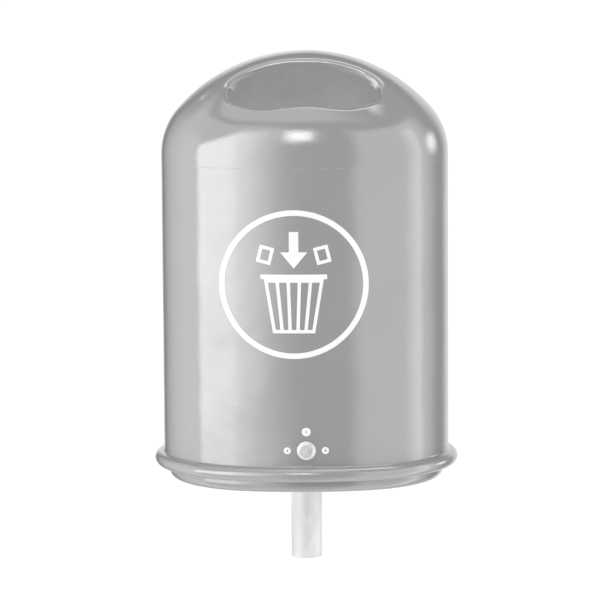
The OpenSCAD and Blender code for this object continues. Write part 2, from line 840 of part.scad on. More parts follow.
module saddle_screws() {
    web_y = -post_offset + half_d + rail_depth - rail_t;
    color(steel) at_clamps() translate([0, web_y, 0]) rotate([90, 0, 0]) {
        hex_head(hex_af, hex_t);
        translate([0, 0, -rail_t - thread_out])
            cylinder(r = bolt_r - bolt_play, h = rail_t + thread_out, $fn = tiny_fn);
    }
}

module post() {
    color(zinc) difference() {
        cylinder(r = post_r, h = post_top, $fn = 96);
        translate([0, 0, -over]) cylinder(r = post_r - post_t, h = post_top + 2 * over, $fn = 96);
    }
}

// Slip-over cap with a rounded top edge.
module post_cap() {
    r = post_r + cap_t;
    round = 3;
    play = 0.05;
    color(dark) translate([0, 0, post_top + cap_t - cap_h]) difference() {
        union() {
            cylinder(r = r, h = cap_h - round, $fn = 96);
            cylinder(r = r - round, h = cap_h, $fn = 96);
            translate([0, 0, cap_h - round]) rotate_extrude($fn = 96)
                translate([r - round, 0]) intersection() {
                    circle(r = round, $fn = 32);
                    square(round);
                }
        }
        translate([0, 0, -over]) cylinder(r = post_r + play, h = cap_h - cap_t + over, $fn = 96);
    }
}

// ---- Pictogram: white film on the front wall ----

module film_on_wall() {
    color(white) at_bin() intersection() {
        oval_band(0, film, ring_z - ring_d, ring_z + ring_d);
        translate([ring_x, 0, ring_z]) rotate([90, 0, 0]) linear_extrude(body_d) children();
    }
}

module pictogram_ring() {
    film_on_wall() difference() {
        circle(d = ring_d, $fn = 128);
        circle(d = ring_d - 2 * ring_line, $fn = 128);
    }
}

// Left edge of slot c where the basket is w wide on each side of its middle.
function slot_x(c, w) = -w + basket_bar + c * (2 * w - basket_bar) / basket_cols;

// Half width of the basket at height z.
function basket_w(z) =
    basket_low_w + (basket_top_w - basket_low_w) * (z - basket_low_z) / (basket_top_z - basket_low_z);

module basket_slots() {
    z0 = basket_low_z + basket_bar;
    z1 = basket_top_z - basket_bar;
    w0 = basket_w(z0);
    w1 = basket_w(z1);
    for (c = [0 : basket_cols - 1])
        polygon([[slot_x(c, w0), z0], [slot_x(c + 1, w0) - basket_bar, z0],
                 [slot_x(c + 1, w1) - basket_bar, z1], [slot_x(c, w1), z1]]);
}

// A tapered basket, with an arrow into it and a sheet of paper on each side of the arrow.
module pictogram_basket() {
    film_on_wall() {
        difference() {
            polygon([[-basket_low_w, basket_low_z], [basket_low_w, basket_low_z],
                     [basket_top_w, basket_top_z], [-basket_top_w, basket_top_z]]);
            basket_slots();
        }
        translate([-basket_top_w - basket_bar, basket_top_z])
            square([2 * (basket_top_w + basket_bar), basket_rim]);
        polygon([[-arrow_w, arrow_top], [arrow_w, arrow_top], [arrow_w, arrow_neck],
                 [arrow_head, arrow_neck], [0, arrow_tip], [-arrow_head, arrow_neck],
                 [-arrow_w, arrow_neck]]);
        for (s = [-1, 1]) translate([s * paper_x, paper_z]) rotate([0, 0, s * paper_a])
            difference() {
                square([paper_w, paper_h], center = true);
                square([paper_w - paper_line, paper_h - paper_line], center = true);
            }
    }
}

body_shell();
hood();
hood_weld();
foot_ring();
base_flap();
hinge_body_leaf();
hinge_flap_leaf();
hinge_pin();
hinge_rivets();
lock_plate();
lock_housing();
lock_nut();
lock_rivets();
lock_core();
lock_cam();
cam_washer();
cam_screw();
flap_striker();
striker_rivets();
mounting_rail();
rail_bolts();
rail_nuts();
clamp_saddles();
clamp_straps();
clamp_bolts();
clamp_nuts();
saddle_screws();
post();
post_cap();
pictogram_ring();
pictogram_basket();
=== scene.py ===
"""Looks of a post-mounted litter bin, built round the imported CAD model.

Everything is in metres, in the row frame: the origin is the centre of the post's lower end, +Z is up
and the front of the bin faces -Y. The painted sheet parts are rebuilt as fine smooth meshes on the
same surfaces as the CAD, and the fasteners get their rounded edges here.
"""

import json
import math

import bmesh
import bpy
import numpy as np
from mathutils import Matrix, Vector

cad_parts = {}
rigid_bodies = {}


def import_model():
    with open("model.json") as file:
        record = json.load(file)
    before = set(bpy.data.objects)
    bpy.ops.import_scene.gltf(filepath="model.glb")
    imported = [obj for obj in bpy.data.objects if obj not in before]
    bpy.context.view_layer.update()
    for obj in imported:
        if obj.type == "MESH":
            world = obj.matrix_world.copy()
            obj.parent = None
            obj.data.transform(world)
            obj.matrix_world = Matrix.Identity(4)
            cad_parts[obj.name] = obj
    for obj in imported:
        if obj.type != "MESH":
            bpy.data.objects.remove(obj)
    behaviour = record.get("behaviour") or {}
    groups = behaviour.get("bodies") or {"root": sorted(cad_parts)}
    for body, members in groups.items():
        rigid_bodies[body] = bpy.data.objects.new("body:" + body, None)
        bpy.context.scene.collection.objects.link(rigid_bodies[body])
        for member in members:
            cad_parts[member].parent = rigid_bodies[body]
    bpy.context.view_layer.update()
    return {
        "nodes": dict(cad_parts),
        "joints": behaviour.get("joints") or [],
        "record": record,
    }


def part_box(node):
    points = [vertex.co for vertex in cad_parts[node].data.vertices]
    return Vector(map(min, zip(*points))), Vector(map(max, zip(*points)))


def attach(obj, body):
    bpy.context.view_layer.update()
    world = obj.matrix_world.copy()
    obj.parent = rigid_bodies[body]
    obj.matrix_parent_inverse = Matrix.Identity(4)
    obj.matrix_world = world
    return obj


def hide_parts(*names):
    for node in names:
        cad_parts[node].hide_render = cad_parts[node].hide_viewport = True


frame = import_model()

PI = math.pi
MM = 0.001

# ---- Driving sizes, from the frame ----

shell_lo, shell_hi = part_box("body_shell")
flap_lo, flap_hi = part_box("base_flap")
joints = {j["name"]: j for j in frame["joints"]}

HALF_W = round((shell_hi.x - shell_lo.x) / 2, 4)
HALF_D = round((shell_hi.y - shell_lo.y) / 2, 4)
MID_Y = round((shell_hi.y + shell_lo.y) / 2, 4)
CREASE_Z = round(shell_lo.z, 4)
SEAM_Z = round(shell_hi.z, 4)
FLOOR_Z = round(flap_lo.z, 4)
FLAP_RIM_Z = round(flap_hi.z, 4)
SHEET = 0.0015

# The oval: two shallow arcs of FRONT_R and two side arcs, tangent to each other.
FRONT_R = 0.380
SIDE_R = (2 * FRONT_R * HALF_D - HALF_W**2 - HALF_D**2) / (2 * (FRONT_R - HALF_W))
FRONT_C = FRONT_R - HALF_D
SIDE_C = HALF_W - SIDE_R
TURN = math.atan2(SIDE_C, FRONT_C)
CORNER = math.atan2(FRONT_R * math.cos(TURN) - FRONT_C, FRONT_R * math.sin(TURN))
COLUMNS = 480

# The hood's profile: apex arc, shoulder arc and straight collar.
COLLAR_H = 0.0065
SHOULDER_R = 0.104
SHOULDER_A = math.radians(41.9)
SHOULDER_C = HALF_W - SHOULDER_R
CROWN_R = SHOULDER_R + SHOULDER_C / math.cos(SHOULDER_A)
CROWN_LEN = CROWN_R * (PI / 2 - SHOULDER_A)
DOME_LEN = CROWN_LEN + SHOULDER_R * SHOULDER_A
HOOD_LEN = DOME_LEN + COLLAR_H
JOIN_W = CROWN_R * math.cos(SHOULDER_A)
DOME_H = SHOULDER_R * math.sin(SHOULDER_A) + CROWN_R * (1 - math.sin(SHOULDER_A))
HOOD_T = 0.0018

# The mouth: two half superellipses in a sloping plane, the lower one raised in its middle.
MOUTH_W = 0.125
MOUTH_TOP = 0.0565
MOUTH_LOW = 0.0675
MOUTH_A = math.radians(39)
MOUTH_C = 0.0025
MOUTH_POWER_TOP = 2.2
MOUTH_POWER_LOW = 2.35
MOUTH_LIFT = 0.0084
MOUTH_LIFT_W = 0.6 * MOUTH_W
LIP_R = 0.009
FLANGE_LEN = 0.006
HOOD_COLUMNS = 320
HOOD_RINGS = 96
RING_CROWDING = 1.25  # above 1 crowds the rings towards the mouth
LIP_RINGS = 14

# The painted weld between hood and shell.
WELD_H = 0.0022
WELD_PROUD = 0.0001
WELD_DEPTH = 0.0004
WELD_COLUMNS = 1600
WELD_SINK = 0.00005  # the beads are swelled from this far inside the wall

# Foot bead, base flap and hinge.
BREAK = 0.0003  # the small flat on a cut sheet's edge
BEAD_H = 0.020
BEAD_OUT = 0.0138
BEAD_C = (BEAD_OUT**2 - (BEAD_H / 2) ** 2) / (2 * BEAD_OUT)
BEAD_R = BEAD_OUT - BEAD_C
BEAD_FILLET = 0.0025
LAP_H = 0.011
LAP_T = 0.0015
SILL_IN = 0.006
FLAP_INSET = 0.008
FLAP_CORNER = 0.012
FLAP_DISH = 0.150  # width of the swept part of the dish; the flat middle inside it is one face
DRAIN_R = 0.004
DRAIN_X = 0.095
DRAIN_Y = 0.055
HINGE_RIVET_X = (-0.035, 0.0, 0.035)
HINGE_RIVET_Y = MID_Y + 0.118
RIVET_R = 0.0024

# Lock and its rivets. Each rivet is (direction from the lock in degrees, radius of its head).
LOCK = joints["lock_turn"]["pos_m"]
LOCK_HOLE_R = 0.0101
LOCK_BARREL_R = 10.0 * MM
LOCK_BACK = 20.5 * MM
LOCK_RIVET_R = 0.028
LOCK_RIVETS = ((0, 0.0054), (90, 0.0066), (180, 0.0054))
MANDREL_R = 0.0011

# Pictogram film. Each pair is (half width, height); heights are from the ring's centre.
RING_D = 0.220
RING_LINE = 0.0082
RING_X = -0.017
RING_Z = CREASE_Z + 0.273
FILM = 0.0003
BASKET_TOP = (0.044, 0.008)
BASKET_LOW = (0.031, -0.072)
BASKET_RIM = 0.007
BAR = 0.005
SLOTS = 5
STEM_TOP = (0.007, 0.078)
HEAD_TOP = (0.020, 0.048)
TIP_Z = 0.024
PAPER_X = 0.042
PAPER_Z = 0.044
PAPER_A = 14
PAPER_W = 0.022
PAPER_H = 0.026
PAPER_LINE = 0.010
SOFT_CORNER = 0.0012
TIGHT_CORNER = 0.0008
PAPER_CORNER = 0.0016
STRIP = 0.002  # the film is cut into strips this wide to follow the wall's curve


# ---- Mesh helpers ----


def add_piece(name, points, faces, material, body, nodes=(), slot=None, smooth=40):
    """A mesh piece that rides on a body and, if nodes are named, stands for them."""
    mesh = bpy.data.meshes.new(name)
    mesh.from_pydata([tuple(p) for p in points], [], [tuple(f) for f in faces])
    mesh.validate()
    tidy = bmesh.new()
    tidy.from_mesh(mesh)
    bmesh.ops.recalc_face_normals(tidy, faces=tidy.faces)
    tidy.to_mesh(mesh)
    tidy.free()
    piece = bpy.data.objects.new(name, mesh)
    bpy.context.scene.collection.objects.link(piece)
    mesh.materials.append(material)
    shade(piece, smooth)
    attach(piece, body)
    if nodes:
        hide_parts(*nodes)
    return piece


def shade(piece, angle):
    """Smooth shading, with edges sharper than the angle in degrees kept crisp."""
    mesh = piece.data
    mesh.shade_smooth()
    mesh.set_sharp_from_angle(angle=math.radians(angle))


def apply_modifiers(piece):
    """Bakes a piece's modifiers into its mesh."""
    bpy.context.view_layer.update()
    evaluated = piece.evaluated_get(bpy.context.evaluated_depsgraph_get())
    baked = bpy.data.meshes.new_from_object(evaluated)
    piece.modifiers.clear()
    piece.data = baked


def grid_faces(rows, cols, wrap_rows, wrap_cols):
    """Quads of a grid of rows x cols points, closed in either direction if asked."""
    r = np.arange(rows if wrap_rows else rows - 1)
    c = np.arange(cols if wrap_cols else cols - 1)
    r, c = np.meshgrid(r, c, indexing="ij")
    r2 = (r + 1) % rows
    c2 = (c + 1) % cols
    quads = np.stack([r * cols + c, r * cols + c2, r2 * cols + c2, r2 * cols + c], axis=-1)
    return quads.reshape(-1, 4)


def arc(cx, cz, r, a0, a1, count):
    """Points of an arc from angle a0 to a1, in degrees."""
    a = np.radians(np.linspace(a0, a1, count))
    return [(cx + r * math.cos(t), cz + r * math.sin(t)) for t in a]


def line(p, q, count):
    """Evenly spaced points from p to q, without q."""
    return [(p[0] + (q[0] - p[0]) * k / count, p[1] + (q[1] - p[1]) * k / count) for k in range(count)]


def oval_ring(count):
    """Points of the oval and their outward normal angles, evenly spaced along the outline."""
    side, front = PI - 2 * TURN, 2 * TURN
    lengths = np.array([SIDE_R * side, FRONT_R * front, SIDE_R * side, FRONT_R * front])
    ends = np.concatenate([[0], np.cumsum(lengths)])
    turns = TURN - PI / 2 + np.array([0, side, PI, PI + side, 2 * PI])
    s = np.arange(count) / count * ends[-1]
    angle = np.interp(s, ends, turns)
    index = np.searchsorted(ends, s, side="right") - 1
    cx = np.array([SIDE_C, 0, -SIDE_C, 0])[index]
    cy = np.array([0, -FRONT_C, 0, FRONT_C])[index]
    r = np.array([SIDE_R, FRONT_R, SIDE_R, FRONT_R])[index]
    return np.stack([cx + r * np.cos(angle), MID_Y + cy + r * np.sin(angle)], axis=1), angle


def swept(profile, count=COLUMNS, closed=True):
    """Points and quads of a profile of (offset from the outline, z) carried round the oval."""
    ring, angle = oval_ring(count)
    profile = np.array(profile)
    out = np.stack([np.cos(angle), np.sin(angle)], axis=1)
    xy = ring[None, :, :] + profile[:, 0][:, None, None] * out[None, :, :]
    z = np.repeat(profile[:, 1][:, None], count, axis=1)
    points = np.concatenate([xy, z[:, :, None]], axis=2)
    return points.reshape(-1, 3), grid_faces(len(profile), count, closed, True)


def lathed(profile, count=64):
    """Points and faces of a profile of (radius, height) turned about the local Z axis."""
    profile = np.array(profile)
    angle = np.arange(count) / count * 2 * PI
    points = np.stack([
        profile[:, 0][:, None] * np.cos(angle),
        profile[:, 0][:, None] * np.sin(angle),
        np.repeat(profile[:, 1][:, None], count, axis=1)], axis=-1)
    return points.reshape(-1, 3), grid_faces(len(profile), count, False, True)


def capped(points, faces, count):
    """Closes a lathed shape's first and last rings."""
    total = len(points)
    return points, [*map(tuple, faces), tuple(range(count)), tuple(range(total - count, total))]


def placed(points, origin, x_axis, z_axis):
    """Points moved from a local frame to the row frame."""
    z_axis = np.array(z_axis, float) / np.linalg.norm(z_axis)
    x_axis = np.array(x_axis, float) - z_axis * np.dot(x_axis, z_axis)
    x_axis /= np.linalg.norm(x_axis)
    y_axis = np.cross(z_axis, x_axis)
    return np.array(points) @ np.array([x_axis, y_axis, z_axis]) + np.array(origin)


def joined(shapes):
    """One list of points and faces from several."""
    points, faces, start = [], [], 0
    for part_points, part_faces in shapes:
        points.extend(part_points)
        faces.extend(tuple(i + start for i in face) for face in part_faces)
        start += len(part_points)
    return points, faces


def wall_y(x, front=True):
    """Depth of the wall's outer face at x."""
    x = np.abs(x)
    shallow = FRONT_C - np.sqrt(np.maximum(FRONT_R**2 - x**2, 0))
    deep = -np.sqrt(np.maximum(SIDE_R**2 - (x - SIDE_C) ** 2, 0))
    y = np.where(x < FRONT_R * math.sin(TURN), shallow, deep)
    return MID_Y + (y if front else -y)


def drill(piece, holes, depth):
    """Cuts round holes, each given as (point, direction, radius)."""
    for k, (point, direction, radius) in enumerate(holes):
        profile = [(radius, -depth), (radius, depth)]
        points, faces = capped(*lathed(profile, 48), 48)
        side = (0, 0, 1) if abs(direction[2]) < 0.9 else (1, 0, 0)
        mesh = bpy.data.meshes.new(f"drill_{k}")
        mesh.from_pydata([tuple(p) for p in placed(points, point, side, direction)], [], faces)
        tool = bpy.data.objects.new(f"drill_{k}", mesh)
        bpy.context.scene.collection.objects.link(tool)
        cut = piece.modifiers.new(f"hole_{k}", "BOOLEAN")
        cut.operation = "DIFFERENCE"
        cut.object = tool
    apply_modifiers(piece)
    for k in range(len(holes)):
        bpy.data.objects.remove(bpy.data.objects[f"drill_{k}"])


# ---- Materials ----


class Surface:
    """A Principled material with small helpers for its nodes."""

    def __init__(self, name, **fixed):
        self.material = bpy.data.materials.new(name)
        self.material.use_nodes = True
        self.tree = self.material.node_tree
        self.shader = self.tree.nodes["Principled BSDF"]
        for socket, value in fixed.items():
            self.shader.inputs[socket.replace("_", " ")].default_value = value
        self.coords = self.tree.nodes.new("ShaderNodeTexCoord").outputs["Object"]

    def link(self, source, target):
        """Joins an output to an input."""
        self.tree.links.new(source, target)

    def stretched(self, x, y, z):
        """Object coordinates scaled along the axes."""
        node = self.tree.nodes.new("ShaderNodeMapping")
        node.inputs["Scale"].default_value = (x, y, z)
        self.link(self.coords, node.inputs["Vector"])
        return node.outputs["Vector"]

    def noise(self, scale, detail=2.0, roughness=0.5, coords=None):
        node = self.tree.nodes.new("ShaderNodeTexNoise")
        node.inputs["Scale"].default_value = scale
        node.inputs["Detail"].default_value = detail
        node.inputs["Roughness"].default_value = roughness
        self.link(coords or self.coords, node.inputs["Vector"])
        return node.outputs["Fac"]

    def cells(self, scale, coords):
        node = self.tree.nodes.new("ShaderNodeTexVoronoi")
        node.inputs["Scale"].default_value = scale
        self.link(coords, node.inputs["Vector"])
        return node.outputs["Color"]

    def spread(self, value, lo, hi, from_lo=0.3, from_hi=0.7):
        """Carries a 0 to 1 value to the range lo to hi."""
        node = self.tree.nodes.new("ShaderNodeMapRange")
        node.inputs["From Min"].default_value = from_lo
        node.inputs["From Max"].default_value = from_hi
        node.inputs["To Min"].default_value = lo
        node.inputs["To Max"].default_value = hi
        self.link(value, node.inputs["Value"])
        return node.outputs["Result"]

    def maths(self, operation, a, b):
        """The result of one sum or product of two values."""
        node = self.tree.nodes.new("ShaderNodeMath")
        node.operation = operation
        self.link(a, node.inputs[0])
        self.link(b, node.inputs[1])
        return node.outputs["Value"]

    def times(self, a, b):
        return self.maths("MULTIPLY", a, b)

    def plus(self, a, b):
        return self.maths("ADD", a, b)

    def tint(self, value, dark, light):
        """A colour between two, by a 0 to 1 value."""
        node = self.tree.nodes.new("ShaderNodeMix")
        node.data_type = "RGBA"
        node.inputs["A"].default_value = (*dark, 1)
        node.inputs["B"].default_value = (*light, 1)
        self.link(value, node.inputs["Factor"])
        return node.outputs["Result"]

    def colour(self, socket):
        self.link(socket, self.shader.inputs["Base Color"])

    def roughness(self, socket):
        self.link(socket, self.shader.inputs["Roughness"])

    def bump(self, height, distance):
        """Adds a relief to the ones already there."""
        node = self.tree.nodes.new("ShaderNodeBump")
        node.inputs["Distance"].default_value = distance
        self.link(height, node.inputs["Height"])
        if self.shader.inputs["Normal"].links:
            self.link(self.shader.inputs["Normal"].links[0].from_socket, node.inputs["Normal"])
        self.link(node.outputs["Normal"], self.shader.inputs["Normal"])
        if "Coat Normal" in self.shader.inputs:
            self.link(node.outputs["Normal"], self.shader.inputs["Coat Normal"])


def grey(level, warmth=0.0):
    """A grey, a little warmer or cooler if asked."""
    return (level * (1 + warmth), level, level * (1 - warmth))


def powder_coat(name, level, coat_rough=0.035):
    """Glossy powder coat: a smooth film with orange peel and faint unevenness."""
    s = Surface(name, IOR=1.6, Coat_Weight=1.0, Coat_Roughness=coat_rough, Coat_IOR=1.6)
    cloud = s.noise(7.0, 3.0, 0.55)
    speck = s.noise(1500.0, 1.0, 0.5)
    mix = s.plus(s.spread(cloud, 0.25, 0.6), s.spread(speck, -0.12, 0.22))
    s.colour(s.tint(mix, grey(level * 0.93), grey(level * 1.06)))
    s.roughness(s.spread(s.noise(60.0, 3.0, 0.6), 0.07, 0.11))
    s.bump(s.noise(11.0, 2.0, 0.4), 0.0015)
    s.bump(s.noise(420.0, 2.5, 0.6), 0.00014)
    return s.material


def lightened_primer(name, level):
    """The same coat inside the bin, thinner, flatter and a little uneven, and lighter than the outside:
    partly a paler inner coat, partly painted light that brightens the shaded inside.
    """
    s = Surface(name, IOR=1.5)
    cloud = s.noise(16.0, 5.0, 0.6)
    s.colour(s.tint(s.spread(cloud, 0.0, 1.0), grey(level * 0.9), grey(level * 1.05)))
    s.roughness(s.spread(s.noise(90.0, 3.0), 0.34, 0.5))
    s.bump(s.noise(420.0, 2.5), 0.00010)
    return s.material


def galvanised(name, level):
    """Hot-dip zinc: large soft spangles, runs along the tube and a satin grain."""
    s = Surface(name, Metallic=0.04, IOR=1.5)
    spangle = s.spread(s.cells(95.0, s.stretched(1, 1, 0.7)), 0.2, 0.8, 0.0, 1.0)
    cloud = s.spread(s.noise(38.0, 4.0, 0.6, s.stretched(1, 1, 0.35)), 0.0, 1.0)
    mix = s.plus(s.times(spangle, s.spread(s.noise(22.0), 0.25, 0.45)), s.times(cloud, cloud))
    s.colour(s.tint(mix, grey(level * 0.86, -0.008), grey(min(level * 1.08, 0.95), -0.004)))
    s.roughness(s.plus(s.spread(spangle, 0.30, 0.42, 0.2, 0.8), s.spread(cloud, -0.04, 0.06, 0, 1)))
    s.bump(s.noise(160.0, 3.0, 0.6), 0.00012)
    s.bump(s.noise(1400.0, 2.0), 0.00002)
    return s.material


def metal(name, level, rough, warmth=0.0, shine=0.6):
    """A plain bright metal with a fine grain and faint stains."""
    s = Surface(name, Metallic=shine)
    cloud = s.noise(55.0, 4.0, 0.6)
    dark, light = level * 0.9, min(level * 1.06, 0.97)
    s.colour(s.tint(s.spread(cloud, 0, 1), grey(dark, warmth), grey(light, warmth)))
    fine = s.noise(900.0, 2.0, 0.5)
    s.roughness(s.plus(s.spread(fine, rough * 0.8, rough * 1.15), s.spread(cloud, -0.02, 0.05)))
    s.bump(fine, 0.000012)
    return s.material


def moulded_plastic(name, level):
    """Matt plastic with a fine moulded grain."""
    s = Surface(name, IOR=1.48)
    s.colour(s.tint(s.spread(s.noise(40.0, 3.0), 0, 1), grey(level * 0.85), grey(level * 1.25)))
    s.roughness(s.spread(s.noise(300.0, 2.0), 0.42, 0.58))
    s.bump(s.noise(1800.0, 2.0), 0.00004)
    return s.material


def white_film(name):
    """Self-adhesive film: white, with the coat's orange peel showing through."""
    s = Surface(name, IOR=1.5, Coat_Weight=0.35, Coat_Roughness=0.12)
    s.colour(s.tint(s.spread(s.noise(30.0, 3.0), 0, 1), grey(0.90), grey(0.95)))
    s.roughness(s.spread(s.noise(120.0, 2.0), 0.28, 0.38))
    s.bump(s.noise(330.0, 2.0), 0.00004)
    return s.material


PAINT_LEVEL = 0.33
paint = powder_coat("powder_coat", PAINT_LEVEL)
paint_weld = powder_coat("powder_coat_weld", PAINT_LEVEL, 0.32)
# The inside finish is lighter than the outside paint: partly a paler coat inside, partly painted light that
# brightens the shaded inside of the bin.
lightened_inside_paint = lightened_primer("powder_coat_inside_lightened", 0.5)
zinc = galvanised("hot_dip_zinc", 0.80)
stainless = metal("stainless_steel", 0.72, 0.28)
zinc_plate = metal("zinc_plating", 0.74, 0.24, warmth=-0.01)
nickel = metal("nickel_plating", 0.86, 0.30, warmth=0.004, shine=0.35)
# The plug's nickel is darker than the housing's nickel.
plug_metal = metal("darker_plug_nickel", 0.72, 0.34, warmth=0.004, shine=0.35)
aluminium = metal("aluminium", 0.93, 0.36, shine=0.15)
mandrel_steel_and_hole_shade = metal("mandrel_steel_and_hole_shade", 0.16, 0.45)
plastic = moulded_plastic("black_plastic", 0.03)
film = white_film("white_film")


# ---- Painted sheet parts ----


def build_shell():
    """The oval shell: outer and inner face of one bent sheet, with its holes drilled."""
    rows = 40
    outside = line((0, CREASE_Z + BREAK), (0, SEAM_Z - BREAK), rows)
    inside = line((-SHEET, SEAM_Z - BREAK), (-SHEET, CREASE_Z + BREAK), rows)
    profile = [*outside, (0, SEAM_Z - BREAK), (-BREAK, SEAM_Z), (-SHEET + BREAK, SEAM_Z),
               *inside, (-SHEET, CREASE_Z + BREAK), (-SHEET + BREAK, CREASE_Z), (-BREAK, CREASE_Z)]
    points, faces = swept(profile)
    shell = add_piece("shell", points, faces, paint, "bin", ["body_shell"], "paint", 40)
    holes = [(LOCK, (0, -1, 0), LOCK_HOLE_R)]
    for x, z, _ in lock_rivet_places():
        holes.append(((x, float(wall_y(x)), z), wall_normal(x), RIVET_R))
    drill(shell, holes, 0.012)
    paint_by_side(shell)
    shade(shell, 40)


def wall_normal(x):
    """Outward normal of the front wall near its middle."""
    return (x / FRONT_R, -math.sqrt(1 - (x / FRONT_R) ** 2), 0)


def lock_rivet_places():
    """x, z and head size of the three lock rivets."""
    turned = [(math.radians(angle), head) for angle, head in LOCK_RIVETS]
    return [(LOCK_RIVET_R * math.cos(a), LOCK[2] + LOCK_RIVET_R * math.sin(a), head) for a, head in turned]


def paint_by_side(piece):
    """Gives the faces that look inwards the lighter inside finish, which is partly painted light."""
    piece.data.materials.append(lightened_inside_paint)
    for face in piece.data.polygons:
        outward = face.center.x * face.normal.x + (face.center.y - MID_Y) * face.normal.y
        if outward < 0 and abs(face.normal.z) < 0.9:
            face.material_index = 1


def oval_reach(angle):
    """Distance from the oval's centre to its outline."""
    s, c = np.abs(np.sin(angle)), np.abs(np.cos(angle))
    front = np.sqrt(FRONT_R**2 - (FRONT_C * c) ** 2) - FRONT_C * s
    side = SIDE_C * c + np.sqrt(SIDE_R**2 - (SIDE_C * s) ** 2)
    return np.where(np.arctan2(s, c) > CORNER, front, side)


def profile_w(m, t):
    """Half width of the hood's profile at arc length m from the apex, cut in by t."""
    crown = (CROWN_R - t) * np.sin(m / CROWN_R)
    shoulder = SHOULDER_C + (SHOULDER_R - t) * np.sin(PI / 2 - SHOULDER_A + (m - CROWN_LEN) / SHOULDER_R)
    return np.where(m < CROWN_LEN, crown, np.where(m < DOME_LEN, shoulder, HALF_W - t))


def profile_z(m, t):
    """Height of the hood's profile above the collar's top edge."""
    crown = DOME_H - CROWN_R + (CROWN_R - t) * np.cos(m / CROWN_R)
    shoulder = (SHOULDER_R - t) * np.cos(PI / 2 - SHOULDER_A + (m - CROWN_LEN) / SHOULDER_R)
    return np.where(m < CROWN_LEN, crown, np.where(m < DOME_LEN, shoulder, DOME_LEN - m))


def profile_m(w):
    """Arc length from the apex at which the profile is w wide."""
    crown = CROWN_R * np.arcsin(np.minimum(w / CROWN_R, 1))
    lean = np.arcsin(np.clip((w - SHOULDER_C) / SHOULDER_R, -1, 1)) - PI / 2 + SHOULDER_A
    return np.where(w < JOIN_W, crown, CROWN_LEN + SHOULDER_R * lean)


def dome_point(angle, m, t):
    """The dome's point at a plan angle and an arc length, cut in by t."""
    k = profile_w(m, t) / HALF_W * oval_reach(angle)
    z = SEAM_Z + COLLAR_H + profile_z(m, t)
    return np.stack([k * np.cos(angle), MID_Y + k * np.sin(angle), z], axis=-1)


def share_w(x, y):
    """Half width of the profile on which the plan point x, y lies."""
    return np.hypot(x, y) / oval_reach(np.arctan2(y, x)) * HALF_W


def mouth_edge(columns):
    """The mouth's edge on the dome, as plan angles and arc lengths."""
    t = np.arange(columns) / columns * 2 * PI
    c, s = np.cos(t), np.sin(t)
    power = np.where(s > 0, MOUTH_POWER_TOP, MOUTH_POWER_LOW)
    x = MOUTH_W * np.sign(c) * np.abs(c) ** (2 / power)
    v = MOUTH_C + np.where(s > 0, MOUTH_TOP, MOUTH_LOW) * np.sign(s) * np.abs(s) ** (2 / power)
    lift = MOUTH_LIFT * np.maximum(0, 1 - (x / MOUTH_LIFT_W) ** 2) ** 2
    v = np.where(s > 0, v, v + lift)
    near = wall_y(x) - MID_Y
    far = np.zeros(columns)
    halvings = 36
    for _ in range(halvings):
        y = (near + far) / 2
        height = profile_z(profile_m(np.minimum(share_w(x, y), HALF_W)), 0)
        short = y * math.cos(MOUTH_A) + height * math.sin(MOUTH_A) < v
        near = np.where(short, y, near)
        far = np.where(short, far, y)
    return np.arctan2(y, x), profile_m(share_w(x, y))


def unit(v):
    """The vectors of v, each brought to length 1."""
    return v / np.linalg.norm(v, axis=-1, keepdims=True)


def hood_loops():
    """Closed rings of points, out from the mouth over the dome and back inside it."""
    angle, m = mouth_edge(HOOD_COLUMNS)
    disc = np.stack([m * np.cos(angle), m * np.sin(angle)], axis=1)
    middle = np.array([0, (disc[HOOD_COLUMNS // 4, 1] + disc[3 * HOOD_COLUMNS // 4, 1]) / 2])
    ray = unit(disc - middle)
    along = ray @ middle
    reach = np.sqrt(along**2 - middle @ middle + HOOD_LEN**2) - along
    rim = middle + ray * reach[:, None]

    def ring_at(k, t):
        q = disc + (rim - disc) * k
        return dome_point(np.arctan2(q[:, 1], q[:, 0]), np.hypot(q[:, 0], q[:, 1]), t)

    edge = ring_at(0.0, 0.0)
    tangent = np.roll(edge, -1, axis=0) - np.roll(edge, 1, axis=0)
    normal = unit(np.cross(ring_at(0.01, 0.0) - edge, tangent))
    inward = unit(np.cross(normal, tangent))

    def lip(r, a, deeper=0.0):
        return edge + inward * r * math.sin(a) - normal * (LIP_R - r * math.cos(a) + deeper)

    steps = (np.arange(HOOD_RINGS + 1) / HOOD_RINGS) ** RING_CROWDING
    turns = np.linspace(0, PI / 2, LIP_RINGS + 1)
    depths = np.linspace(0, FLANGE_LEN, 4)[1:]
    bore = LIP_R - HOOD_T
    return np.array([
        *[ring_at(k, 0.0) for k in steps[:0:-1]],
        *[lip(LIP_R, a) for a in turns],
        *[lip(LIP_R, PI / 2, d) for d in depths],
        *[lip(bore, PI / 2, d) for d in depths[::-1]],
        *[lip(bore, a) for a in turns[::-1]],
        *[ring_at(k, HOOD_T) for k in steps[1:]]])


def build_hood():
    """The pressed hood with its mouth; the inner face of the sheet has the inside finish."""
    loops = hood_loops()
    rows = len(loops)
    points = loops.reshape(-1, 3)
    faces = grid_faces(rows, HOOD_COLUMNS, True, True)
    hood = add_piece("hood_skin", points, faces, paint, "bin", ["hood"], "paint", 50)
    hood.data.materials.append(lightened_inside_paint)
    first_inner = rows - HOOD_RINGS
    for face in hood.data.polygons:
        if min(v // HOOD_COLUMNS for v in face.vertices) >= first_inner - 1:
            face.material_index = 1


